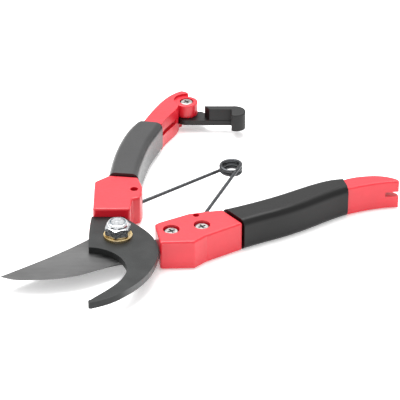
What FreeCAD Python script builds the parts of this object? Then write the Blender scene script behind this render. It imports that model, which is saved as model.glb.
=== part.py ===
import FreeCAD, Part
import math
import os

# Bypass pruning shears, resting open on their side.
#
# Row frame, in millimetres: the origin is the centre of the pivot bolt's head, on the
# plane that the shears rest on. +Z runs up the pivot to the nut, +Y along the hook
# plate's tang and the upper handle, and +X to the right, where the open lower handle is.
# The hook side stays still. The blade side closes by turning counter-clockwise about +Z.

# Levels above the resting plane
SLEEVE_BOTTOM = 0.0
SLEEVE_TOP = 15.0
HANDLE_BOTTOM = 0.5
HANDLE_TOP = 14.0
BLADE_BOTTOM = 4.05
BLADE_TOP = 6.95
HOOK_BOTTOM = 7.0
HOOK_TOP = 10.0

# Pivot: M6 bolt, plain washer and nylon-insert lock nut
BOLT_RADIUS = 3.0
BOLT_HEAD_HEIGHT = 4.0
HEX_ACROSS_FLATS = 10.0
HEX_FACE_SHARE = 0.94
HEX_CHAMFER_ANGLE = 30.0
BOLT_TIP_CHAMFER = 0.5
HEX_TURN = 80.0
RUNNING_CLEARANCE = 0.05
WASHER_RADIUS = 6.25
WASHER_BORE_RADIUS = 3.2
WASHER_HEIGHT = 1.2
WASHER_CHAMFER = 0.2
NUT_HEX_HEIGHT = 4.4
NUT_HEIGHT = 6.0
NUT_COLLAR_RADIUS = 4.5
NUT_COLLAR_EDGE = 0.9
NUT_LIP = 0.5
INSERT_RADIUS = 4.0
INSERT_HEIGHT = 1.6
BOLT_TIP = 17.6

# Handle screws: self-tapping, pan head with a cross recess, in counterbores
SCREW_HEAD_RADIUS = 3.15
SCREW_HEAD_HEIGHT = 2.0
SCREW_HEAD_EDGE = 0.7
SCREW_POINT_RADIUS = 0.3
SCREW_SHANK_RADIUS = 1.5
SCREW_REACH = 11.0
COUNTERBORE_RADIUS = 3.6
COUNTERBORE_DEPTH = 2.9
CROSS_WIDTH = 0.9
CROSS_LENGTH = 3.4
CROSS_DEPTH = 1.1
CROSS_TURN = 30.0
LOWER_SCREWS = {"lower_front_screw": (22.9, -0.9), "lower_rear_screw": (36.0, 2.9)}
UPPER_SCREWS = {"upper_front_screw": (-3.2, 24.3), "upper_rear_screw": (-1.8, 37.4)}

# Blocks at the plates' ends of the handles, and the bare tails at their far ends
UPPER_CORNER = 1.2
LOWER_CORNER = 0.9
BLOCK_RIM = 0.9
TAIL_EDGE = 0.8
TAIL_LEDGE = 117.5
GROOVE_BOTTOM = 6.4
GROOVE_TOP = 8.7
SLIT_BOTTOM = 6.5
SLIT_HEIGHT = 2.2
SLIT_START = 117.6
SLIT_BACK = 35.0
SLIT_LENGTH = 10.0
SLIT_DEPTH = 20.0
LEDGE_START = 10.0
LEDGE_LENGTH = 30.0
LEDGE_DEPTH = 20.0

# Grip sleeves: wall over the handle's core, soft long edges, gap to the block
SLEEVE_WALL = 2.2
SLEEVE_EDGE = 3.2
CORE_OVERLAP = 3.5

# Torsion spring: one wire, a coil between the handles and a leg to each block
WIRE_RADIUS = 0.8
COIL_RADIUS = 4.5
COIL_PITCH = 1.75
COIL_CENTRE = (49.1, 59.5)
COIL_BOTTOM = 8.0
SPRING_END_A = (6.8, 34.2)
SPRING_END_B = (33.3, 12.1)
LEG_A_HEIGHT = 5.8
LEG_A_MOUTH = 5.95
LEG_B_HEIGHT = 7.6
LEG_B_MOUTH = 7.85
LEG_B_GAP = 1.0
END_HOLE_A = (6.1, 33.7)
END_HOLE_A_RADIUS = 1.75
END_HOLE_B = (33.5, 10.9)
END_HOLE_B_RADIUS = 1.4
END_POCKET_B = (33.5, 11.6)
END_POCKET_RADIUS = 1.75
END_HOLE_FLOOR = 3.8
STUB_A_TOP = 10.5
STUB_B_BOTTOM = 5.2
LEG_CLEARANCE = 0.4
FAN_LENGTH = 12.0
FAN_BULGE = 1.2
LEG_A_SWEEP = 43.6
LEG_B_SWEEP = -37.4

# Catch at the end of the upper handle
CATCH_PIVOT = (28.8, 119.5)
CATCH_BOTTOM = 4.0
TONGUE_TOP = 6.5
CATCH_TOP = 12.5
CATCH_EDGE = 0.5
CATCH_SCREW_SUNK = 0.2
BOSS_RADIUS = 5.3
BOSS_TOP = 13.0
BOSS_BOTTOM = 6.7
BOSS_COLLAR = 0.7
BOSS_EDGE = 0.6
POCKET_RADIUS = 7.7
POCKET_FLOOR = 3.9
PIN_RADIUS = 1.5
BUSH_RADIUS = 2.45
CATCH_SCREW_HEAD_RADIUS = 3.0
CATCH_SCREW_RECESS = 1.6
CATCH_SCREW_PLAY = 0.3
CATCH_NUT_HEIGHT = 2.2
CATCH_NUT_FLATS = 5.5

Z_AXIS = FreeCAD.Vector(0, 0, 1)


def vector(x, y, z=0.0):
    return FreeCAD.Vector(x, y, z)


def direction(degrees):
    """The unit vector in the plan at this heading, counter-clockwise from +X."""
    return vector(math.cos(math.radians(degrees)), math.sin(math.radians(degrees)))


def heading(start, end):
    return math.degrees(math.atan2(end[1] - start[1], end[0] - start[0]))


def outline(z, start, *runs):
    """A flat face at height z. A run of one point is a straight line to it,
    and a longer run is a smooth curve through its points."""
    edges = []
    last = vector(start[0], start[1], z)
    for run in runs:
        points = [last] + [vector(x, y, z) for x, y in run]
        if len(points) == 2:
            edges.append(Part.LineSegment(points[0], points[1]).toShape())
        else:
            curve = Part.BSplineCurve()
            curve.interpolate(points)
            edges.append(curve.toShape())
        last = points[-1]
    return Part.Face(Part.Wire(edges))


def prism(bottom, top, start, *runs):
    """The outline of these runs, extruded between two heights."""
    return outline(bottom, start, *runs).extrude(vector(0, 0, top - bottom))


def cylinder(centre, radius, bottom, top):
    return Part.makeCylinder(radius, top - bottom, vector(centre[0], centre[1], bottom), Z_AXIS)


def hexagon(centre, across_flats, bottom, top, turn):
    """A hexagonal prism, with one corner at the heading turn."""
    corner_radius = across_flats / math.sqrt(3)
    corners = [vector(centre[0], centre[1], bottom) + direction(turn + 60 * i) * corner_radius
               for i in range(7)]
    return Part.Face(Part.makePolygon(corners)).extrude(vector(0, 0, top - bottom))


def chamfered_hexagon(centre, across_flats, bottom, top, turn, ends):
    """A hexagon whose corners are turned down to a cone at the ends named."""
    hexagonal = hexagon(centre, across_flats, bottom, top, turn)
    corner_radius = across_flats / math.sqrt(3)
    face_radius = HEX_FACE_SHARE * across_flats / 2
    drop = (corner_radius - face_radius) * math.tan(math.radians(HEX_CHAMFER_ANGLE))
    base = vector(centre[0], centre[1], bottom)
    profile = [vector(0, 0, 0)]
    if "bottom" in ends:
        profile += [vector(face_radius, 0, 0), vector(corner_radius, 0, drop)]
    else:
        profile += [vector(corner_radius, 0, 0)]
    height = top - bottom
    if "top" in ends:
        profile += [vector(corner_radius, 0, height - drop), vector(face_radius, 0, height)]
    else:
        profile += [vector(corner_radius, 0, height)]
    profile += [vector(0, 0, height), vector(0, 0, 0)]
    turned = Part.Face(Part.makePolygon(profile)).revolve(vector(0, 0, 0), Z_AXIS, 360)
    turned.translate(base)
    return hexagonal.common(turned)


def flat_edges(shape, *heights):
    """The edges that lie wholly at one of these heights."""
    return [edge for edge in shape.Edges
            if any(abs(edge.BoundBox.ZMin - z) < 1e-4 and abs(edge.BoundBox.ZMax - z) < 1e-4
                   for z in heights)]


def upright_edges(shape, least_angle=20.0):
    """The upright edges where the outline turns by more than least_angle."""
    found = []
    for edge in shape.Edges:
        box = edge.BoundBox
        if box.XLength > 1e-4 or box.YLength > 1e-4:
            continue
        faces = [face for face in shape.Faces
                 if any(edge.isSame(other) for other in face.Edges)]
        point = edge.Vertexes[0].Point
        normals = [face.normalAt(*face.Surface.parameter(point)) for face in faces]
        if math.degrees(normals[0].getAngle(normals[1])) > least_angle:
            found.append(edge)
    return found


def softened(shape, upright_radius, rim_radius, *heights):
    """Round the upright corners, then the rims at these heights."""
    shape = shape.makeFillet(upright_radius, upright_edges(shape))
    return shape.makeFillet(rim_radius, flat_edges(shape, *heights))


def long_flat_edges(shape):
    """The rims of a tail's long sides."""
    return [edge for edge in flat_edges(shape, HANDLE_BOTTOM, HANDLE_TOP) if edge.Length > 20]


def shifted(points, distance, extra):
    """These points moved to the right of their run by distance, with both ends
    drawn out by extra along the run."""
    moved = []
    last = len(points) - 1
    for i, point in enumerate(points):
        before = points[max(i - 1, 0)]
        after = points[min(i + 1, last)]
        side = direction(heading(before, after) - 90) * distance
        moved.append((point[0] + side.x, point[1] + side.y))
    for i, j in ((0, 1), (last, last - 1)):
        out = direction(heading(moved[j], moved[i])) * extra
        moved[i] = (moved[i][0] + out.x, moved[i][1] + out.y)
    return moved


def sleeve_and_core(left, right):
    """A sleeve between its two long sides, and the handle's core that fills it."""
    outer = prism(SLEEVE_BOTTOM, SLEEVE_TOP, left[0], left[1:], [right[-1]], right[-2::-1], [left[0]])
    long_edges = [edge for edge in flat_edges(outer, SLEEVE_BOTTOM, SLEEVE_TOP)
                  if edge.Curve.TypeId == "Part::GeomBSplineCurve"]
    outer = outer.makeFillet(SLEEVE_EDGE, long_edges)
    core_left = shifted(left, SLEEVE_WALL, CORE_OVERLAP)
    core_right = shifted(right, -SLEEVE_WALL, CORE_OVERLAP)
    core = prism(SLEEVE_BOTTOM + SLEEVE_WALL, SLEEVE_TOP - SLEEVE_WALL, core_left[0],
                 core_left[1:], [core_right[-1]], core_right[-2::-1], [core_left[0]])
    return outer.cut(core), core


def screw(place, head_radius, head_height, shank_radius, reach, downward):
    """A pan-head screw with a cross recess. place is the top of its head."""
    head = Part.makeCylinder(head_radius, head_height, vector(0, 0, -head_height), Z_AXIS)
    head = head.makeFillet(SCREW_HEAD_EDGE, flat_edges(head, 0.0))
    for turn in (0, 90):
        arm = Part.makeBox(CROSS_LENGTH, CROSS_WIDTH, CROSS_DEPTH,
                           vector(-CROSS_LENGTH / 2, -CROSS_WIDTH / 2, -CROSS_DEPTH))
        arm.rotate(vector(0, 0), Z_AXIS, turn + CROSS_TURN)
        head = head.cut(arm)
    shank_length = reach - head_height
    shank = Part.makeCylinder(shank_radius, shank_length - shank_radius,
                              vector(0, 0, shank_radius - reach), Z_AXIS)
    point = Part.makeCone(SCREW_POINT_RADIUS, shank_radius, shank_radius, vector(0, 0, -reach), Z_AXIS)
    made = head.fuse([shank, point]).removeSplitter()
    if not downward:
        made.rotate(vector(0, 0), vector(1, 0), 180)
    made.translate(vector(*place))
    return made


def screw_room(place, sign):
    """The counterbore and pilot hole for a handle screw. sign is -1 for a screw
    driven down from the top face and 1 for one driven up from the bottom face."""
    x, y, face = place
    seat = face + sign * COUNTERBORE_DEPTH
    head_top = seat - sign * SCREW_HEAD_HEIGHT
    end = head_top + sign * SCREW_REACH
    bore = cylinder((x, y), COUNTERBORE_RADIUS, min(face, seat), max(face, seat))
    pilot = cylinder((x, y), SCREW_SHANK_RADIUS, min(seat, end), max(seat, end))
    return bore.fuse(pilot)


def handle_screw(x, y, face, sign):
    head_top = face + sign * (COUNTERBORE_DEPTH - SCREW_HEAD_HEIGHT)
    return screw((x, y, head_top), SCREW_HEAD_RADIUS, SCREW_HEAD_HEIGHT, SCREW_SHANK_RADIUS,
                 SCREW_REACH, sign < 0)


# ---------------------------------------------------------------- pivot fasteners

def pivot_bolt():
    head = chamfered_hexagon((0, 0), HEX_ACROSS_FLATS, 0.0, BOLT_HEAD_HEIGHT, HEX_TURN, ("bottom",))
    shank = cylinder((0, 0), BOLT_RADIUS, BOLT_HEAD_HEIGHT, BOLT_TIP)
    shank = shank.makeChamfer(BOLT_TIP_CHAMFER, flat_edges(shank, BOLT_TIP))
    return head.fuse(shank).removeSplitter()


def pivot_washer():
    disc = cylinder((0, 0), WASHER_RADIUS, HOOK_TOP, HOOK_TOP + WASHER_HEIGHT)
    disc = disc.makeChamfer(WASHER_CHAMFER, flat_edges(disc, HOOK_TOP + WASHER_HEIGHT))
    return disc.cut(cylinder((0, 0), WASHER_BORE_RADIUS, HOOK_TOP, HOOK_TOP + WASHER_HEIGHT))


def nut_levels():
    bottom = HOOK_TOP + WASHER_HEIGHT
    return bottom, bottom + NUT_HEX_HEIGHT, bottom + NUT_HEIGHT


def pivot_nut():
    """A lock nut: a hexagon with a domed collar rolled over its nylon ring."""
    bottom, shoulder, top = nut_levels()
    hexagonal = chamfered_hexagon((0, 0), HEX_ACROSS_FLATS, bottom, shoulder, HEX_TURN,
                                  ("bottom", "top"))
    collar = cylinder((0, 0), NUT_COLLAR_RADIUS, shoulder, top)
    collar = collar.makeFillet(NUT_COLLAR_EDGE, flat_edges(collar, top))
    nut = hexagonal.fuse(collar).removeSplitter()
    nut = nut.cut(cylinder((0, 0), BOLT_RADIUS, bottom, top))
    seat = cylinder((0, 0), INSERT_RADIUS, top - NUT_LIP - INSERT_HEIGHT, top - NUT_LIP)
    mouth = cylinder((0, 0), INSERT_RADIUS - NUT_LIP, top - NUT_LIP, top)
    return nut.cut(seat.fuse(mouth))


def nut_insert():
    top = nut_levels()[2] - NUT_LIP
    ring = cylinder((0, 0), INSERT_RADIUS, top - INSERT_HEIGHT, top)
    return ring.cut(cylinder((0, 0), BOLT_RADIUS, top - INSERT_HEIGHT, top))


# ---------------------------------------------------------------- the two plates

def hook_blade():
    """The anvil hook and its tang, a flat plate with a crescent for the branch."""
    plate = prism(
        HOOK_BOTTOM, HOOK_TOP, (-12.0, 16.5),
        [(-12.5, 6.0), (-12.2, -9.3)],
        [(-8.4, -9.9), (-4.4, -11.7), (-1.1, -14.3), (1.4, -17.2), (3.2, -20.6), (4.5, -25.0),
         (3.9, -31.2), (1.0, -37.6), (-4.2, -44.4), (-9.6, -50.6)],
        [(-10.6, -51.6), (-10.3, -52.7), (-9.0, -52.9)],
        [(-5.6, -51.4), (-1.4, -49.0), (4.2, -43.9), (8.4, -39.0), (11.6, -34.2), (14.4, -28.4),
         (16.4, -21.8), (17.5, -14.8), (17.2, -8.6), (15.8, -3.0), (13.6, 1.8), (10.0, 6.9),
         (6.4, 11.1), (3.3, 14.6)],
        [(1.9, 16.5)], [(2.2, 38.0)],
        [(0.8, 41.2), (-3.0, 42.2), (-6.8, 41.2), (-8.2, 38.0)],
        [(-9.2, 16.5)], [(-12.0, 16.5)])
    holes = [cylinder((0, 0), BOLT_RADIUS, HOOK_BOTTOM, HOOK_TOP)]
    holes += [cylinder(place, SCREW_SHANK_RADIUS, HOOK_BOTTOM, HOOK_TOP)
              for place in UPPER_SCREWS.values()]
    return plate.cut(holes)


def blade_outline(z, tip, edge):
    """The blade's plan outline at height z: back, round pivot end, tang and cutting edge."""
    return outline(
        z, tip,
        [(-40.6, -21.9), (-32.6, -15.6), (-24.5, -8.8), (-16.3, -1.2), (-12.6, 2.5)],
        [(-9.2, 6.2), (-4.2, 10.4), (2.0, 11.6), (7.6, 9.0)],
        [(15.5, 2.0), (19.0, 2.6)],
        [(40.2, 9.0)],
        [(43.0, 8.4), (43.8, 5.4), (42.6, 2.0)],
        [(25.0, -7.6)], [(17.4, -9.4)], [(9.0, -11.4)], [(3.6, -13.6)],
        edge + [tip])


def cutting_blade():
    """The bypass blade and its tang, ground to a bevel on its lower side."""
    upper = blade_outline(
        BLADE_TOP, (-48.8, -28.2),
        [(-2.8, -19.3), (-11.0, -24.9), (-19.2, -28.5), (-27.5, -30.3), (-35.8, -30.8), (-43.2, -30.0)])
    lower = blade_outline(
        BLADE_BOTTOM, (-45.4, -25.4),
        [(-4.4, -16.5), (-13.0, -20.9), (-20.6, -23.9), (-28.2, -25.5), (-35.6, -26.2), (-41.4, -26.4)])
    blade = Part.makeLoft([lower.OuterWire, upper.OuterWire], True, True)
    holes = [cylinder((0, 0), BOLT_RADIUS + RUNNING_CLEARANCE, BLADE_BOTTOM, BLADE_TOP)]
    holes += [cylinder(place, SCREW_SHANK_RADIUS, BLADE_BOTTOM, BLADE_TOP)
              for place in LOWER_SCREWS.values()]
    return blade.cut(holes)


# ---------------------------------------------------------------- the torsion spring

def spring_wire():
    """Where the wire meets the coil: leg headings, coil start angle and coil turns."""
    reach_a = math.dist(SPRING_END_A, COIL_CENTRE)
    reach_b = math.dist(SPRING_END_B, COIL_CENTRE)
    lead_a = math.degrees(math.asin(COIL_RADIUS / reach_a))
    lead_b = math.degrees(math.asin(COIL_RADIUS / reach_b))
    heading_a = heading(SPRING_END_A, COIL_CENTRE) + lead_a
    heading_b = heading(SPRING_END_B, COIL_CENTRE) - lead_b
    start_angle = heading_a + 90
    end_angle = heading_b - 90
    turns = 2 + (start_angle - end_angle) / 360
    return heading_a, heading_b, start_angle, end_angle, turns


def wire_run(points):
    """Straight stretches of wire through these points, round at each bend."""
    pieces = []
    for start, end in zip(points, points[1:]):
        along = end - start
        pieces.append(Part.makeCylinder(WIRE_RADIUS, along.Length, start, along))
    pieces += [Part.makeSphere(WIRE_RADIUS, point) for point in points[1:-1]]
    return pieces[0].fuse(pieces[1:]).removeSplitter()


def spring_coil():
    start_angle, turns = spring_wire()[2], spring_wire()[4]
    path = Part.makeHelix(COIL_PITCH, COIL_PITCH * turns, COIL_RADIUS, 0, True)
    slope = COIL_PITCH / (2 * math.pi * COIL_RADIUS)
    section = Part.Wire(Part.makeCircle(WIRE_RADIUS, vector(COIL_RADIUS, 0, 0), vector(0, -1, slope)))
    coil = Part.Wire(path.Edges).makePipeShell([section], True, True)
    coil.rotate(vector(0, 0), Z_AXIS, start_angle)
    coil.translate(vector(COIL_CENTRE[0], COIL_CENTRE[1], COIL_BOTTOM))
    return coil


def spring_leg_a():
    start_angle = spring_wire()[2]
    tangent = vector(*COIL_CENTRE, COIL_BOTTOM) + direction(start_angle) * COIL_RADIUS
    return wire_run([tangent, vector(*SPRING_END_A, LEG_A_HEIGHT), vector(*SPRING_END_A, STUB_A_TOP)])


def spring_leg_b():
    heading_b, end_angle, turns = spring_wire()[1], spring_wire()[3], spring_wire()[4]
    coil_top = COIL_BOTTOM + COIL_PITCH * turns
    tangent = vector(*COIL_CENTRE, coil_top) + direction(end_angle) * COIL_RADIUS
    start = tangent - direction(heading_b) * LEG_B_GAP
    return wire_run([start, vector(*SPRING_END_B, LEG_B_HEIGHT), vector(*SPRING_END_B, STUB_B_BOTTOM)])


def leg_room(hole, hole_radius, pocket, end, first_heading, sweep, height):
    """The open hole beside a leg's end, the pocket that holds the end with room to
    shift, and the fan-shaped slot in which the leg swings."""
    half = WIRE_RADIUS + LEG_CLEARANCE
    low, high = sorted((first_heading, first_heading + sweep))
    low_side = direction(low - 90) * half
    high_side = direction(high + 90) * half
    centre = vector(*end)
    corners = [centre + low_side, centre + low_side + direction(low) * FAN_LENGTH,
               centre + direction((low + high) / 2) * FAN_LENGTH * FAN_BULGE,
               centre + high_side + direction(high) * FAN_LENGTH, centre + high_side]
    bottom = height - half
    fan = Part.Face(Part.makePolygon(corners + corners[:1]))
    fan.translate(vector(0, 0, bottom))
    fan = fan.extrude(vector(0, 0, 2 * half))
    mouth = cylinder(end, half, bottom, height + half)
    pocket_room = cylinder(pocket, END_POCKET_RADIUS, END_HOLE_FLOOR, height + half)
    return cylinder(hole, hole_radius, END_HOLE_FLOOR, HANDLE_TOP).fuse([fan, mouth, pocket_room])


# ---------------------------------------------------------------- upper handle

UPPER_LEFT = [(-5.7, 47.0), (-5.1, 55.0), (-3.2, 70.0), (-0.8, 81.0), (2.5, 91.0), (5.2, 96.4)]
UPPER_RIGHT = [(7.9, 45.2), (8.6, 54.6), (10.0, 63.8), (12.8, 77.8), (16.6, 90.0), (17.8, 94.0)]


def upper_sleeve_and_core():
    return sleeve_and_core(UPPER_LEFT, UPPER_RIGHT)


def upper_block():
    block = prism(
        HANDLE_BOTTOM, HANDLE_TOP, (-11.4, 16.2),
        [(4.9, 16.2)], [(5.4, 25.0)], [(8.9, 26.4)], [(9.7, 30.0)], [(9.7, 36.5)], [(7.5, 44.4)],
        [(-5.4, 46.2)], [(-11.6, 40.6)], [(-11.4, 16.2)])
    return softened(block, UPPER_CORNER, BLOCK_RIM, HANDLE_BOTTOM, HANDLE_TOP)


def upper_tail():
    """The handle's bare end, with the boss that carries the catch."""
    tail = prism(
        HANDLE_BOTTOM, HANDLE_TOP, (8.2, 96.2),
        [(11.2, 104.6), (14.0, 111.6), (17.0, 118.0), (20.6, 123.8), (24.6, 127.8)],
        [(27.2, 127.9), (29.0, 126.6), (29.6, 124.4)],
        [(28.8, 119.5)],
        [(25.2, 116.2)],
        [(24.4, 111.0), (21.2, 104.0), (17.4, 94.6)],
        [(8.2, 96.2)])
    tail = tail.makeFillet(TAIL_EDGE, [edge for edge in long_flat_edges(tail)
                                       if edge.BoundBox.YMax > 120])
    boss = cylinder(CATCH_PIVOT, BOSS_RADIUS, BOSS_BOTTOM, BOSS_TOP)
    boss = boss.makeFillet(BOSS_EDGE, flat_edges(boss, BOSS_TOP))
    crescent = cylinder(CATCH_PIVOT, BOSS_RADIUS + BOSS_COLLAR, BOSS_TOP, HANDLE_TOP)
    pocket = cylinder(CATCH_PIVOT, POCKET_RADIUS, POCKET_FLOOR, BOSS_BOTTOM)
    under = Part.makeBox(LEDGE_LENGTH, LEDGE_DEPTH, BOSS_BOTTOM, vector(LEDGE_START, TAIL_LEDGE, 0))
    tail = tail.cut([crescent, pocket, under])
    groove = prism(GROOVE_BOTTOM, GROOVE_TOP, (15.4, 96.6), [(18.4, 95.0)], [(24.0, 109.0)],
                   [(23.4, 109.8), (22.2, 109.6)], [(15.4, 96.6)])
    tail = tail.fuse(boss).cut(groove)
    recess = cylinder(CATCH_PIVOT, CATCH_SCREW_HEAD_RADIUS + CATCH_SCREW_PLAY,
                      BOSS_TOP - CATCH_SCREW_RECESS, BOSS_TOP)
    bore = cylinder(CATCH_PIVOT, PIN_RADIUS, BOSS_BOTTOM, BOSS_TOP)
    return tail.cut([recess, bore])


def upper_handle(core):
    handle = upper_block().fuse([core, upper_tail()])
    heading_a = spring_wire()[0]
    cuts = [leg_room(END_HOLE_A, END_HOLE_A_RADIUS, END_HOLE_A, SPRING_END_A, heading_a,
                     LEG_A_SWEEP, LEG_A_MOUTH), hook_blade()]
    cuts += [screw_room((x, y, HANDLE_BOTTOM), 1) for x, y in UPPER_SCREWS.values()]
    return handle.cut(cuts).removeSplitter()


# ---------------------------------------------------------------- lower handle

LOWER_INNER = [(45.2, 16.3), (57.2, 22.0), (70.2, 29.3), (84.2, 38.2), (92.0, 42.0), (98.0, 43.4)]
LOWER_OUTER = [(54.4, 3.9), (63.3, 8.9), (72.6, 13.8), (84.2, 21.3), (94.4, 28.8), (100.7, 32.8)]


def lower_sleeve_and_core():
    return sleeve_and_core(LOWER_INNER, LOWER_OUTER)


def lower_block():
    block = prism(
        HANDLE_BOTTOM, HANDLE_TOP, (15.8, 3.4),
        [(18.3, -12.0)], [(33.0, -11.4)], [(38.2, -6.0)], [(53.6, 4.2)],
        [(44.9, 15.8)], [(38.0, 14.5)], [(30.1, 12.5)], [(17.6, 5.2)], [(15.8, 3.4)])
    return softened(block, LOWER_CORNER, BLOCK_RIM, HANDLE_BOTTOM, HANDLE_TOP)


def lower_tail():
    """The handle's bare end, slit along its middle where the catch's claw bears."""
    tail = prism(
        HANDLE_BOTTOM, HANDLE_TOP, (98.5, 42.1),
        [(103.0, 44.4), (109.7, 45.9), (114.1, 46.1), (118.0, 45.4), (121.6, 43.8)],
        [(123.2, 42.4)], [(123.6, 40.4)],
        [(117.3, 39.6), (110.0, 37.6), (100.6, 33.9)],
        [(98.5, 42.1)])
    tail = tail.makeFillet(TAIL_EDGE, long_flat_edges(tail))
    slit = Part.makeBox(SLIT_LENGTH, SLIT_DEPTH, SLIT_HEIGHT, vector(SLIT_START, SLIT_BACK, SLIT_BOTTOM))
    return tail.cut(slit)


def lower_handle(core):
    handle = lower_block().fuse([core, lower_tail()])
    heading_b = spring_wire()[1]
    cuts = [leg_room(END_HOLE_B, END_HOLE_B_RADIUS, END_POCKET_B, SPRING_END_B, heading_b,
                     LEG_B_SWEEP, LEG_B_MOUTH), cutting_blade()]
    cuts += [screw_room((x, y, HANDLE_TOP), -1) for x, y in LOWER_SCREWS.values()]
    return handle.cut(cuts).removeSplitter()


# ---------------------------------------------------------------- catch

def catch_screw():
    place = (CATCH_PIVOT[0], CATCH_PIVOT[1], BOSS_TOP - CATCH_SCREW_SUNK)
    head_height = CATCH_SCREW_RECESS - CATCH_SCREW_SUNK
    reach = place[2] - (CATCH_BOTTOM - CATCH_NUT_HEIGHT) + CATCH_SCREW_SUNK
    return screw(place, CATCH_SCREW_HEAD_RADIUS, head_height, PIN_RADIUS, reach, True)


def catch_nut():
    top = CATCH_BOTTOM - RUNNING_CLEARANCE
    nut = chamfered_hexagon(CATCH_PIVOT, CATCH_NUT_FLATS, top - CATCH_NUT_HEIGHT, top, 0, ("bottom",))
    return nut.cut(cylinder(CATCH_PIVOT, PIN_RADIUS, 0.0, top))


def catch_bush():
    ring = cylinder(CATCH_PIVOT, BUSH_RADIUS, CATCH_BOTTOM, TONGUE_TOP)
    return ring.cut(cylinder(CATCH_PIVOT, PIN_RADIUS + RUNNING_CLEARANCE, CATCH_BOTTOM, TONGUE_TOP))


def catch():
    """The locking catch: a flat tongue with an eye, an upright arm and a claw."""
    tongue = prism(
        CATCH_BOTTOM, TONGUE_TOP, (33.6, 121.2),
        [(31.4, 124.0), (28.0, 124.7), (24.4, 122.4), (23.4, 118.6), (24.6, 114.6), (28.2, 112.3)],
        [(33.0, 112.2), (39.4, 112.0)],
        [(50.0, 112.0)], [(50.0, 115.9)], [(42.0, 115.9)],
        [(38.6, 117.6), (36.8, 120.6), (33.6, 121.2)])
    arm = prism(
        CATCH_BOTTOM, CATCH_TOP, (37.4, 115.9),
        [(39.6, 112.2)], [(50.0, 112.2)], [(50.0, 106.7)],
        [(51.4, 106.0), (54.0, 106.3), (56.0, 107.8), (56.7, 110.2), (55.9, 113.6),
         (53.4, 115.6), (50.4, 115.9)],
        [(37.4, 115.9)])
    arm = arm.makeFillet(CATCH_EDGE, flat_edges(arm, CATCH_TOP))
    whole = arm.fuse(tongue)
    return whole.cut(cylinder(CATCH_PIVOT, BUSH_RADIUS + RUNNING_CLEARANCE, CATCH_BOTTOM, TONGUE_TOP))


# ---------------------------------------------------------------- all pieces

def pieces():
    upper_sleeve, upper_core = upper_sleeve_and_core()
    lower_sleeve, lower_core = lower_sleeve_and_core()
    made = {
        "pivot_bolt": pivot_bolt(),
        "pivot_washer": pivot_washer(),
        "pivot_nut": pivot_nut(),
        "nut_insert": nut_insert(),
        "hook_blade": hook_blade(),
        "cutting_blade": cutting_blade(),
        "upper_handle": upper_handle(upper_core),
        "upper_grip_sleeve": upper_sleeve,
        "lower_handle": lower_handle(lower_core),
        "lower_grip_sleeve": lower_sleeve,
        "spring_leg_a": spring_leg_a(),
        "spring_coil": spring_coil(),
        "spring_leg_b": spring_leg_b(),
        "catch": catch(),
        "catch_screw": catch_screw(),
        "catch_nut": catch_nut(),
        "catch_bush": catch_bush(),
    }
    for name, (x, y) in LOWER_SCREWS.items():
        made[name] = handle_screw(x, y, HANDLE_TOP, -1)
    for name, (x, y) in UPPER_SCREWS.items():
        made[name] = handle_screw(x, y, HANDLE_BOTTOM, 1)
    return made


os.makedirs("parts", exist_ok=True)
for name, shape in pieces().items():
    print(f"{name:20s} volume {shape.Volume:9.2f} mm3, solids {len(shape.Solids)}, valid {shape.isValid()}")
    shape.exportStep(f"parts/{name}.step")
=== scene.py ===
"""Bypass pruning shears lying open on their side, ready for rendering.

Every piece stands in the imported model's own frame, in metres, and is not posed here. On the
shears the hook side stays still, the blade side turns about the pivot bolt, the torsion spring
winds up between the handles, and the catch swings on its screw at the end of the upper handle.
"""

import math

import bmesh
import bpy
from bpy.props import FloatProperty, FloatVectorProperty, IntProperty, StringProperty
from mathutils import Matrix, Vector


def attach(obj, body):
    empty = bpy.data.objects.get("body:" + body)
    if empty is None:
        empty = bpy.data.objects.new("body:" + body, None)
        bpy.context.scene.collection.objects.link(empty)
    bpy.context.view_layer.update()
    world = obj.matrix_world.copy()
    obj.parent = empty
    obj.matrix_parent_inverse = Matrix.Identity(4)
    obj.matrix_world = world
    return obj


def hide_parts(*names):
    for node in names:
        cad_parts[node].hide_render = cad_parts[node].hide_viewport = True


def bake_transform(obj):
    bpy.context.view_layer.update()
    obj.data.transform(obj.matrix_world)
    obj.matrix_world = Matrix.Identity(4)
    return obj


bl_info = {
    "name": "Pruning Shears",
    "version": (1, 0, 0),
    "blender": (4, 5, 0),
    "location": "View3D > Sidebar > Shears",
    "description": "Builds the visible pieces and finishes of bypass pruning shears",
    "category": "Object",
}

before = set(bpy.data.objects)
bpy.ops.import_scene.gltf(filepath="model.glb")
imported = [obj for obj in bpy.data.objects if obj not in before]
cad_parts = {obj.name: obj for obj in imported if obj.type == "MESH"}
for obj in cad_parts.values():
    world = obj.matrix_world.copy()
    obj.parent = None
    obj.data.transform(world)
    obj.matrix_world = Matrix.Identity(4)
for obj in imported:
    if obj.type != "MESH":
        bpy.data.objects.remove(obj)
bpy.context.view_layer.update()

MM = 0.001
UP = Vector((0, 0, 1))

# Where the torsion spring's wire runs, in millimetres.
COIL_CENTRE = (49.1, 59.5)
COIL_RADIUS = 4.5
COIL_PITCH = 1.75
COIL_BOTTOM = 8.0
LEG_A_END = (6.8, 34.2)
LEG_A_HEIGHT = 5.8
LEG_A_STUB_TOP = 10.5
LEG_B_END = (33.3, 12.1)
LEG_B_HEIGHT = 7.6
LEG_B_STUB_BOTTOM = 5.2

LEG_B_GAP = 0.3

# How the wire is meshed. The merge distance is in metres.
FULL_TURN = 2 * math.pi
BEND_STEPS = 8
STUB_PARTS = 2
MERGE_DISTANCE = 1e-7

# Two softboxes, placed from the camera's target, and their sizes, in metres.
OVERHEAD_PLACE = (-0.15, 0.25, 0.9)
OVERHEAD_SIZE = (1.0, 0.8)
CAMERA_LIGHT_PLACE = (0.25, -0.95, 0.35)
CAMERA_LIGHT_SIZE = (0.8, 0.4)

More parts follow.
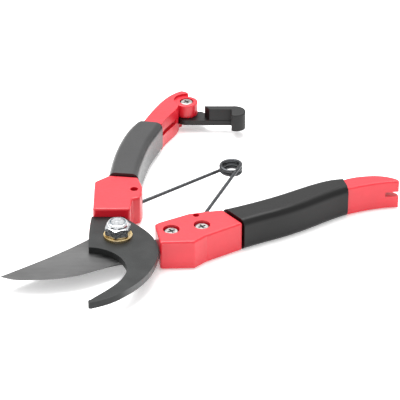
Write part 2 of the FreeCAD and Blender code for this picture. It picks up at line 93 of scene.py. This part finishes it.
# The floor's depth under the shears and the camera's sensor, in millimetres.
FLOOR_DROP = 0.02
SENSOR_WIDTH = 36.0


# ---------------------------------------------------------------- helpers

def linear(hex_colour):
    """A "#rrggbb" colour as linear RGBA."""
    parts = [int(hex_colour[i:i + 2], 16) / 255 for i in (1, 3, 5)]
    levels = [c / 12.92 if c <= 0.04045 else ((c + 0.055) / 1.055) ** 2.4 for c in parts]
    return (*levels, 1.0)


def add(material, kind, inputs=None, **settings):
    """A shader node with these settings. An input is a value, or a socket to link from."""
    tree = material.node_tree
    made = tree.nodes.new(kind)
    for name, value in settings.items():
        setattr(made, name, value)
    for name, value in (inputs or {}).items():
        socket = made.inputs[name]
        if isinstance(value, bpy.types.NodeSocket):
            tree.links.new(value, socket)
        else:
            socket.default_value = value
    return made


def new_material(name):
    """An empty node material and the coordinates that its patterns are laid on."""
    material = bpy.data.materials.new(name)
    material.use_nodes = True
    material.node_tree.nodes.clear()
    place = add(material, "ShaderNodeTexCoord").outputs["Object"]
    return material, place


def finish_material(material, inputs):
    """End a material with its surface shader, and return it."""
    shader = add(material, "ShaderNodeBsdfPrincipled", inputs)
    add(material, "ShaderNodeOutputMaterial", {"Surface": shader.outputs["BSDF"]})
    return material


def ramp(material, factor, stops):
    """A colour ramp. Its stops are (position, "#rrggbb")."""
    made = add(material, "ShaderNodeValToRGB", {"Fac": factor})
    elements = made.color_ramp.elements
    while len(elements) < len(stops):
        elements.new(0.5)
    for element, (position, colour) in zip(elements, stops):
        element.position = position
        element.color = linear(colour)
    return made.outputs["Color"]


def level(material, value, low, high, start=0.0, end=1.0):
    """value, taken from start..end to low..high."""
    made = add(material, "ShaderNodeMapRange",
               {"Value": value, "From Min": start, "From Max": end, "To Min": low, "To Max": high})
    return made.outputs["Result"]


def noise(material, place, size_mm, detail=3.0, stretch=(1, 1, 1), turn_degrees=0.0):
    """Noise whose spots are about size_mm across, drawn out along one way by stretch."""
    placed = add(material, "ShaderNodeMapping", {
        "Vector": place, "Rotation": (0, 0, math.radians(turn_degrees)), "Scale": stretch})
    made = add(material, "ShaderNodeTexNoise", {
        "Vector": placed.outputs["Vector"], "Scale": 1 / (size_mm * MM), "Detail": detail})
    return made.outputs["Fac"]


def bump(material, height, depth_mm, strength, under=None):
    """Normals tilted by a height of depth_mm, laid over the normals under, if any."""
    inputs = {"Height": height, "Distance": depth_mm * MM, "Strength": strength}
    if under is not None:
        inputs["Normal"] = under
    return add(material, "ShaderNodeBump", inputs).outputs["Normal"]


# ---------------------------------------------------------------- materials

def moulded_red_abs(colours):
    """ABS, injection moulded in a polished mould: an even, saturated red with a gloss that
    is broken by the faint orange peel of the mould and a few handling scuffs."""
    material, place = new_material("Moulded red ABS")
    tone = ramp(material, noise(material, place, 9.0), [(0.3, "#c40f22"), (0.7, colours.red_hex)])
    scuffs = noise(material, place, 2.2, 5.0, (1, 3, 1), 30.0)
    peel = noise(material, place, 0.9, 2.0)
    fine = bump(material, peel, 0.03, 0.25)
    return finish_material(material, {
        "Base Color": tone,
        "Roughness": level(material, scuffs, 0.3, 0.42, 0.35, 0.7),
        "IOR": 1.53,
        "Subsurface Weight": 0.12,
        "Subsurface Radius": (2.5 * MM, 0.6 * MM, 0.5 * MM),
        "Subsurface Scale": 1.0,
        "Coat Weight": 0.25,
        "Coat Roughness": 0.2,
        "Normal": fine,
    })


def dipped_pvc(name, dark_hex, pale_hex, gloss):
    """Soft PVC, pulled over the handle as a smooth sleeve: charcoal with a broad satin
    sheen, slightly uneven where it was stretched."""
    material, place = new_material(name)
    tone = ramp(material, noise(material, place, 12.0), [(0.3, dark_hex), (0.7, pale_hex)])
    grain = noise(material, place, 0.7, 3.0)
    waves = noise(material, place, 7.0, 1.0)
    soft = bump(material, waves, 0.25, 0.25)
    return finish_material(material, {
        "Base Color": tone,
        "Roughness": level(material, grain, 0.3, 0.42, 0.3, 0.7),
        "IOR": 1.54,
        "Specular IOR Level": gloss,
        "Coat Weight": gloss / 2,
        "Coat Roughness": 0.12,
        "Normal": bump(material, grain, 0.02, 0.3, soft),
    })


def ground_blade_steel(colours):
    """Hardened carbon steel, surface ground along the blade and left bare: satin grey
    with fine lines that spread the light across them."""
    material, place = new_material("Ground blade steel")
    lines = noise(material, place, 0.55, 4.0, (0.06, 1.4, 1), -36.0)
    cloud = noise(material, place, 14.0, 3.0)
    mixed = add(material, "ShaderNodeMath", {0: lines, 1: cloud}, operation="ADD").outputs["Value"]
    tone = ramp(material, level(material, mixed, 0.0, 1.0, 0.7, 1.3),
                [(0.0, "#585858"), (0.55, colours.blade_hex), (1.0, "#686868")])
    return finish_material(material, {
        "Base Color": tone,
        "Metallic": 1.0,
        "Roughness": level(material, lines, 0.36, 0.5, 0.3, 0.7),
        "Anisotropic": 0.4,
        "Normal": bump(material, lines, 0.02, 0.35),
    })


def blackened_plate_steel(colours):
    """Sheared and formed steel plate, hardened and blackened: a dark, dull bloom, with a
    painted highlight, a paler grey, on the steep faces of the rim at the lower right."""
    material, place = new_material("Blackened plate steel")
    cloud = noise(material, place, 8.0, 4.0)
    grit = noise(material, place, 0.5, 3.0)
    base = ramp(material, cloud, [(0.3, "#323333"), (0.7, colours.hook_hex)])
    # Painted highlight: the steep faces of the rim at the lower right are mixed towards a paler grey.
    facing = add(material, "ShaderNodeNewGeometry").outputs["Normal"]
    upright = add(material, "ShaderNodeSeparateXYZ", {"Vector": facing}).outputs["Z"]
    flat = add(material, "ShaderNodeMath", {0: upright}, operation="ABSOLUTE").outputs["Value"]
    split = add(material, "ShaderNodeSeparateXYZ", {"Vector": place})
    low = level(material, split.outputs["Y"], 1.0, 0.0, -46 * MM, -52 * MM)
    right = level(material, split.outputs["X"], 0.0, 1.0, 2 * MM, 7 * MM)
    rim = add(material, "ShaderNodeMath", {0: level(material, flat, 1.0, 0.0, 0.2, 0.6), 1: right},
              operation="MULTIPLY").outputs["Value"]
    rim = add(material, "ShaderNodeMath", {0: rim, 1: low}, operation="MULTIPLY").outputs["Value"]
    tone = add(material, "ShaderNodeMix", {"Factor": rim, "A": base, "B": linear("#5a5b5b")},
               data_type="RGBA").outputs["Result"]
    return finish_material(material, {
        "Base Color": tone,
        "Metallic": 0.85,
        "Roughness": level(material, grit, 0.42, 0.56, 0.3, 0.7),
        "Normal": bump(material, grit, 0.03, 0.25),
    })


def bright_zinc(colours):
    """Steel with a bright zinc plating, cold formed: near mirror faces with a fine
    crystalline unevenness and dull spots."""
    material, place = new_material("Bright zinc plate")
    spots = noise(material, place, 1.1, 4.0)
    return finish_material(material, {
        "Base Color": ramp(material, spots, [(0.3, "#c3c5c8"), (0.7, colours.zinc_hex)]),
        "Metallic": 1.0,
        "Roughness": level(material, spots, 0.14, 0.3, 0.35, 0.7),
        "Normal": bump(material, spots, 0.04, 0.25),
    })


def yellow_zinc():
    """Steel washer with yellow passivated zinc: pale gold with faint rainbow drift."""
    material, place = new_material("Yellow passivated zinc")
    drift = noise(material, place, 2.5, 3.0)
    return finish_material(material, {
        "Base Color": ramp(material, drift, [(0.3, "#b79a63"), (0.5, "#d9c08a"), (0.7, "#e2cfae")]),
        "Metallic": 1.0,
        "Roughness": level(material, drift, 0.2, 0.34, 0.3, 0.7),
        "Normal": bump(material, drift, 0.03, 0.2),
    })


def natural_nylon():
    """Natural nylon, moulded: milky and slightly see-through, with a soft gloss."""
    material, place = new_material("Natural nylon")
    cloud = noise(material, place, 1.5, 2.0)
    return finish_material(material, {
        "Base Color": ramp(material, cloud, [(0.3, "#5d6870"), (0.7, "#7d8a92")]),
        "Roughness": level(material, cloud, 0.4, 0.5, 0.3, 0.7),
        "IOR": 1.53,
        "Subsurface Weight": 0.2,
        "Subsurface Radius": (1 * MM, 1 * MM, 1 * MM),
    })


def plated_screw_steel():
    """Cold-formed screw steel, zinc plated and tumbled: dull silver, darker in the
    pressed cross."""
    material, place = new_material("Plated screw steel")
    spots = noise(material, place, 0.8, 4.0)
    return finish_material(material, {
        "Base Color": ramp(material, spots, [(0.3, "#9a9a98"), (0.7, "#c4c4c2")]),
        "Metallic": 1.0,
        "Roughness": level(material, spots, 0.28, 0.42, 0.3, 0.7),
        "Normal": bump(material, spots, 0.03, 0.3),
    })


def oiled_spring_wire():
    """Cold-drawn spring wire, oil blackened: dark grey with a sharp line of light along
    it and fine drawing marks."""
    material, place = new_material("Oiled spring wire")
    marks = noise(material, place, 0.8, 3.0)
    return finish_material(material, {
        "Base Color": ramp(material, marks, [(0.3, "#3c3d3e"), (0.7, "#55575a")]),
        "Metallic": 0.9,
        "Roughness": level(material, marks, 0.26, 0.4, 0.3, 0.7),
        "Normal": bump(material, marks, 0.02, 0.25),
    })


def moulded_black_nylon(colours):
    """Glass-filled nylon, injection moulded with a spark-eroded texture: black with a
    grey bloom and a soft broad highlight."""
    material, place = new_material("Textured black nylon")
    cloud = noise(material, place, 5.0, 3.0)
    pits = noise(material, place, 0.35, 2.0)
    return finish_material(material, {
        "Base Color": ramp(material, cloud, [(0.3, "#060606"), (0.7, colours.catch_hex)]),
        "Roughness": level(material, pits, 0.42, 0.55, 0.3, 0.7),
        "IOR": 1.55,
        "Specular IOR Level": 0.35,
        "Normal": bump(material, pits, 0.04, 0.35),
    })


def pale_floor():
    """The floor: matt and nearly white, with a faint painted glow that lightens the shadows cast on
    it.
    """
    material, place = new_material("Pale floor with painted glow")
    cloud = noise(material, place, 200.0, 2.0)
    return finish_material(material, {
        "Base Color": ramp(material, cloud, [(0.3, "#fafafa"), (0.7, "#fcfcfc")]),
        "Roughness": 0.9,
        "Specular IOR Level": 0.2,
        # Painted light: the floor glows faintly to lighten the shadows that the shears cast on it.
        "Emission Color": linear("#ffffff"),
        "Emission Strength": 0.3,
    })


def paint_nodes(material, *names):
    """Give the named CAD nodes one material."""
    for name in names:
        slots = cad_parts[name].data.materials
        slots.clear()
        slots.append(material)


# ---------------------------------------------------------------- the spring's wire

def plan(place, z):
    """A point in metres from its plan position and height in millimetres."""
    return Vector((place[0] * MM, place[1] * MM, z * MM))


def direction(angle):
    """The level unit vector at an angle from +X."""
    return Vector((math.cos(angle), math.sin(angle), 0))


def spring_route():
    """Headings of the two legs, the coil's start and end angles, and the angle that it
    winds through, in radians. The legs leave the coil on its tangents."""
    centre = Vector(COIL_CENTRE)
    away_a = centre - Vector(LEG_A_END)
    away_b = centre - Vector(LEG_B_END)
    heading_a = math.atan2(away_a.y, away_a.x) + math.asin(COIL_RADIUS / away_a.length)
    heading_b = math.atan2(away_b.y, away_b.x) - math.asin(COIL_RADIUS / away_b.length)
    start = heading_a + math.pi / 2
    end = heading_b - math.pi / 2
    turn = 2 * FULL_TURN + start - end
    return heading_a, heading_b, start, end, turn


def extend_wire(bm, rim, step, count):
    """Extrude an open end of the wire straight on by step, in count parts."""
    for _ in range(count):
        made = bmesh.ops.extrude_edge_only(bm, edges=rim)["geom"]
        ends = [v for v in made if isinstance(v, bmesh.types.BMVert)]
        bmesh.ops.translate(bm, verts=ends, vec=step / count)
        rim = [e for e in made if isinstance(e, bmesh.types.BMEdge)
               and all(v in ends for v in e.verts)]
    return rim


def bend_wire(bm, rim, centre, axis, angle, steps):
    """Carry an open end of the wire round a bend."""
    made = bmesh.ops.spin(bm, geom=rim, cent=centre, axis=axis, angle=angle, steps=steps,
                          use_merge=False, use_duplicate=False)["geom_last"]
    return [e for e in made if isinstance(e, bmesh.types.BMEdge)]


def wire_circle(bm, centre, along, radius, sides):
    """A ring of wire with its middle at centre, square to along. Returns its edges."""
    turn = UP.rotation_difference(along).to_matrix().to_4x4()
    made = bmesh.ops.create_circle(bm, cap_ends=False, radius=radius, segments=sides,
                                   matrix=Matrix.Translation(centre) @ turn)
    return list({edge for vert in made["verts"] for edge in vert.link_edges})


def make_wire_piece(name, bm, material):
    """Turn a finished length of wire into an object at the origin."""
    bmesh.ops.remove_doubles(bm, verts=bm.verts, dist=MERGE_DISTANCE)
    bmesh.ops.recalc_face_normals(bm, faces=bm.faces)
    for face in bm.faces:
        face.smooth = True
    mesh = bpy.data.meshes.new(name)
    bm.to_mesh(mesh)
    bm.free()
    mesh.materials.append(material)
    piece = bpy.data.objects.new(name, mesh)
    bpy.context.scene.collection.objects.link(piece)
    return piece


def coil(sizes, material):
    """The coil, which winds up as the handles close. Returns the height of its last turn."""
    _, _, start, _, turn = spring_route()
    radius = sizes.wire / 2
    centre = plan(COIL_CENTRE, COIL_BOTTOM)
    out = direction(start)
    bm = bmesh.new()
    ring = wire_circle(bm, centre + out * COIL_RADIUS * MM, out.cross(UP), radius, sizes.wire_sides)
    steps = int(sizes.coil_steps * turn / FULL_TURN)
    rise = COIL_PITCH * MM * turn / FULL_TURN
    made = bmesh.ops.spin(bm, geom=ring, cent=centre, axis=(0, 0, 1), angle=-turn, steps=steps,
                          dvec=(0, 0, rise / steps), use_merge=False, use_duplicate=False)
    last = [e for e in made["geom_last"] if isinstance(e, bmesh.types.BMEdge)]
    bmesh.ops.contextual_create(bm, geom=last)
    bmesh.ops.contextual_create(bm, geom=[e for e in bm.edges if e.is_boundary])
    piece = make_wire_piece("spring_coil_wire", bm, material)
    top = COIL_BOTTOM * MM + rise
    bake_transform(piece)
    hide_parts("spring_coil")
    return top


def leg(sizes, first, facing, corner, stub):
    """Wire from first, where it faces along facing, straight to corner, and then upright
    for stub, which is negative where the wire turns down."""
    turn = math.copysign(1, stub)
    bm = bmesh.new()
    ring = wire_circle(bm, first, facing, sizes.wire / 2, sizes.wire_sides)
    bmesh.ops.contextual_create(bm, geom=ring)
    run = corner - first
    reach = run.normalized() * (run.length - sizes.bend)
    rim = extend_wire(bm, ring, reach, sizes.leg_parts)
    pivot = first + reach + UP * sizes.bend * turn
    rim = bend_wire(bm, rim, pivot, facing.cross(UP), turn * math.pi / 2, BEND_STEPS)
    rim = extend_wire(bm, rim, UP * (stub - sizes.bend * turn), STUB_PARTS)
    bmesh.ops.contextual_create(bm, geom=rim)
    return bm


def leg_a(sizes, material):
    """The leg to the upper handle, from the bottom of the coil up into its hole."""
    _, _, start, _, _ = spring_route()
    tangent = plan(COIL_CENTRE, COIL_BOTTOM) + direction(start) * COIL_RADIUS * MM
    corner = plan(LEG_A_END, LEG_A_HEIGHT)
    bm = leg(sizes, tangent, (corner - tangent).normalized(), corner,
             (LEG_A_STUB_TOP - LEG_A_HEIGHT) * MM)
    piece = make_wire_piece("spring_upper_wire", bm, material)
    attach(piece, "spring_upper_leg")
    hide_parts("spring_leg_a")


def leg_b(sizes, material, top):
    """The leg to the lower handle, from the top of the coil down into its hole. It starts
    a little way past the coil's end."""
    _, heading_b, _, end, _ = spring_route()
    tangent = plan(COIL_CENTRE, 0) + direction(end) * COIL_RADIUS * MM + UP * top
    corner = plan(LEG_B_END, LEG_B_HEIGHT)
    first = tangent + direction(heading_b) * LEG_B_GAP * MM
    bm = leg(sizes, first, (corner - tangent).normalized(), corner,
             (LEG_B_STUB_BOTTOM - LEG_B_HEIGHT) * MM)
    piece = make_wire_piece("spring_lower_wire", bm, material)
    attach(piece, "spring_lower_leg")
    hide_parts("spring_leg_b")


# ---------------------------------------------------------------- settings

class ShearsFinishes(bpy.types.PropertyGroup):
    """Colours of the finishes, as sRGB hex values. The two sleeve greys are painted light: one PVC,
    made lit for the upper sleeve and shaded for the lower.
    """
    red_hex: StringProperty(
        name="Handle red", description="Main colour of the moulded handles", default="#ce1428")
    # Painted light: the two sleeve greys below are one PVC, lighter as if lit and darker as if shaded.
    upper_sleeve_lit_hex: StringProperty(
        name="Upper sleeve grey, painted lit", description="Paler tone of the upper grip sleeve, painted lighter as if lit", default="#202021")
    lower_sleeve_shaded_hex: StringProperty(
        name="Lower sleeve grey, painted shaded", description="Paler tone of the lower grip sleeve, painted darker as if shaded", default="#090909")
    blade_hex: StringProperty(
        name="Blade grey", description="Main tone of the ground blade", default="#606060")
    hook_hex: StringProperty(
        name="Hook grey", description="Paler tone of the blackened hook", default="#3b3c3c")
    zinc_hex: StringProperty(
        name="Zinc", description="Paler tone of the plated nut and bolt", default="#dcdee0")
    catch_hex: StringProperty(
        name="Catch black", description="Paler tone of the moulded catch", default="#0a0a0a")


class ShearsSizes(bpy.types.PropertyGroup):
    """Sizes of the pieces that are modelled here."""
    wire: FloatProperty(
        name="Wire", description="Diameter of the spring's wire",
        default=1.6 * MM, min=0.5 * MM, unit="LENGTH")
    bend: FloatProperty(
        name="Bend", description="Radius of the bend at the end of each spring leg",
        default=1.0 * MM, min=0.2 * MM, unit="LENGTH")
    wire_sides: IntProperty(
        name="Wire sides", description="Sides of the wire's round section", default=20, min=8,
        subtype="UNSIGNED")
    coil_steps: IntProperty(
        name="Coil steps", description="Parts in each turn of the coil", default=72, min=16,
        subtype="UNSIGNED")
    leg_parts: IntProperty(
        name="Leg parts", description="Parts along each straight leg", default=24, min=1,
        subtype="UNSIGNED")


class ShearsStage(bpy.types.PropertyGroup):
    """The camera, the lights and the floor."""
    target: FloatVectorProperty(
        name="Target", description="Point that the camera looks at",
        default=(35.18 * MM, 48.21 * MM, 0.0), subtype="XYZ", unit="LENGTH")
    distance: FloatProperty(
        name="Distance", description="From the camera to its target", default=1.0, unit="LENGTH")
    elevation: FloatProperty(
        name="Elevation", description="Angle of the camera above the horizon",
        default=math.radians(30), subtype="ANGLE", unit="ROTATION")
    lens: FloatProperty(
        name="Lens", description="Focal length in millimetres", default=200.0, min=1.0,
        unit="CAMERA")
    floor: FloatProperty(
        name="Floor", description="Width of the floor", default=6.0, unit="LENGTH")
    key_power: FloatProperty(
        name="Key light", description="Power of the large softbox overhead", default=13.0,
        unit="POWER")
    fill_power: FloatProperty(
        name="Fill light", description="Power of the light beside the camera", default=0.5,
        unit="POWER")
    sky: FloatProperty(
        name="Sky", description="Strength of the even light from all round", default=1.0,
        subtype="FACTOR")


# ---------------------------------------------------------------- operators

class SHEARS_OT_plates(bpy.types.Operator):
    """Finish the hook plate and the cutting blade"""
    bl_idname = "shears.plates"
    bl_label = "Hook and blade"

    def execute(self, context):
        colours = context.scene.shears_finishes
        paint_nodes(blackened_plate_steel(colours), "hook_blade")
        paint_nodes(ground_blade_steel(colours), "cutting_blade")
        return {"FINISHED"}


class SHEARS_OT_pivot(bpy.types.Operator):
    """Finish the pivot bolt, its washer and its lock nut"""
    bl_idname = "shears.pivot"
    bl_label = "Pivot"

    def execute(self, context):
        zinc = bright_zinc(context.scene.shears_finishes)
        paint_nodes(zinc, "pivot_bolt", "pivot_nut", "catch_nut")
        paint_nodes(yellow_zinc(), "pivot_washer")
        paint_nodes(natural_nylon(), "nut_insert", "catch_bush")
        return {"FINISHED"}


class SHEARS_OT_handles(bpy.types.Operator):
    """Finish the two moulded handles and their grip sleeves"""
    bl_idname = "shears.handles"
    bl_label = "Handles"

    def execute(self, context):
        colours = context.scene.shears_finishes
        paint_nodes(moulded_red_abs(colours), "upper_handle", "lower_handle")
        # Painted light: the two sleeves are one PVC. The upper copy gets paler greys and more gloss to
        # look lit, and the lower gets darker greys and less gloss to look shaded.
        paler = dipped_pvc("Satin PVC sleeve, painted lit copy", "#1a1a1b", colours.upper_sleeve_lit_hex, 0.45)
        darker = dipped_pvc("Satin PVC sleeve", "#050505", colours.lower_sleeve_shaded_hex, 0.22)
        paint_nodes(paler, "upper_grip_sleeve")
        paint_nodes(darker, "lower_grip_sleeve")
        return {"FINISHED"}


class SHEARS_OT_screws(bpy.types.Operator):
    """Finish the handle screws and the catch's screw"""
    bl_idname = "shears.screws"
    bl_label = "Screws"

    def execute(self, context):
        paint_nodes(plated_screw_steel(), "upper_front_screw", "upper_rear_screw",
                    "lower_front_screw", "lower_rear_screw", "catch_screw")
        return {"FINISHED"}


class SHEARS_OT_spring(bpy.types.Operator):
    """Bend the torsion spring from wire"""
    bl_idname = "shears.spring"
    bl_label = "Spring"

    def execute(self, context):
        sizes = context.scene.shears_sizes
        material = oiled_spring_wire()
        top = coil(sizes, material)
        leg_a(sizes, material)
        leg_b(sizes, material, top)
        paint_nodes(material, "spring_leg_a", "spring_coil", "spring_leg_b")
        return {"FINISHED"}


class SHEARS_OT_catch(bpy.types.Operator):
    """Finish the locking catch"""
    bl_idname = "shears.catch"
    bl_label = "Catch"

    def execute(self, context):
        paint_nodes(moulded_black_nylon(context.scene.shears_finishes), "catch")
        return {"FINISHED"}


class SHEARS_OT_stage(bpy.types.Operator):
    """Set out the floor, the lights and the camera"""
    bl_idname = "shears.stage"
    bl_label = "Stage"

    def execute(self, context):
        stage = context.scene.shears_stage
        target = Vector(stage.target)

        bm = bmesh.new()
        bmesh.ops.create_grid(bm, x_segments=1, y_segments=1, size=stage.floor / 2)
        bmesh.ops.translate(bm, verts=bm.verts, vec=(target.x, target.y, -FLOOR_DROP * MM))
        mesh = bpy.data.meshes.new("floor")
        bm.to_mesh(mesh)
        bm.free()
        mesh.materials.append(pale_floor())
        floor = bpy.data.objects.new("floor", mesh)
        context.scene.collection.objects.link(floor)

        def area_light(name, place, power, size):
            data = bpy.data.lights.new(name, "AREA")
            data.shape = "RECTANGLE"
            data.energy = power
            data.size, data.size_y = size
            light = bpy.data.objects.new(name, data)
            light.location = target + Vector(place)
            light.rotation_euler = (-Vector(place)).to_track_quat("-Z", "Y").to_euler()
            context.scene.collection.objects.link(light)

        area_light("overhead softbox", OVERHEAD_PLACE, stage.key_power, OVERHEAD_SIZE)
        area_light("camera softbox", CAMERA_LIGHT_PLACE, stage.fill_power, CAMERA_LIGHT_SIZE)

        world = bpy.data.worlds.new("studio")
        world.use_nodes = True
        background = world.node_tree.nodes["Background"]
        background.inputs["Color"].default_value = linear("#ffffff")
        background.inputs["Strength"].default_value = stage.sky
        context.scene.world = world
        context.scene.view_settings.view_transform = "Standard"

        data = bpy.data.cameras.new("camera")
        data.sensor_width = SENSOR_WIDTH
        data.lens = stage.lens
        camera = bpy.data.objects.new("camera", data)
        back = Vector((0, -math.cos(stage.elevation), math.sin(stage.elevation)))
        camera.location = target + back * stage.distance
        camera.rotation_euler = (math.pi / 2 - stage.elevation, 0, 0)
        context.scene.collection.objects.link(camera)
        context.scene.camera = camera
        return {"FINISHED"}


class SHEARS_PT_panel(bpy.types.Panel):
    """Lists the pieces and the sizes and colours that can be changed"""
    bl_idname = "SHEARS_PT_panel"
    bl_label = "Pruning shears"
    bl_space_type = "VIEW_3D"
    bl_region_type = "UI"
    bl_category = "Shears"

    def draw(self, context):
        for operator in PIECE_OPERATORS:
            self.layout.operator(operator.bl_idname)
        for group in (context.scene.shears_finishes, context.scene.shears_sizes,
                      context.scene.shears_stage):
            box = self.layout.box()
            for name in group.__annotations__:
                box.prop(group, name)


PIECE_OPERATORS = (SHEARS_OT_plates, SHEARS_OT_pivot, SHEARS_OT_handles, SHEARS_OT_screws,
                   SHEARS_OT_spring, SHEARS_OT_catch, SHEARS_OT_stage)
CLASSES = (ShearsFinishes, ShearsSizes, ShearsStage) + PIECE_OPERATORS + (SHEARS_PT_panel,)


def register():
    for made in CLASSES:
        bpy.utils.register_class(made)
    bpy.types.Scene.shears_finishes = bpy.props.PointerProperty(type=ShearsFinishes)
    bpy.types.Scene.shears_sizes = bpy.props.PointerProperty(type=ShearsSizes)
    bpy.types.Scene.shears_stage = bpy.props.PointerProperty(type=ShearsStage)


def unregister():
    del bpy.types.Scene.shears_finishes
    del bpy.types.Scene.shears_sizes
    del bpy.types.Scene.shears_stage
    for made in reversed(CLASSES):
        bpy.utils.unregister_class(made)


def main():
    register()
    bpy.ops.shears.plates()
    bpy.ops.shears.pivot()
    bpy.ops.shears.handles()
    bpy.ops.shears.screws()
    bpy.ops.shears.spring()
    bpy.ops.shears.catch()
    bpy.ops.shears.stage()


if __name__ == "__main__":
    main()
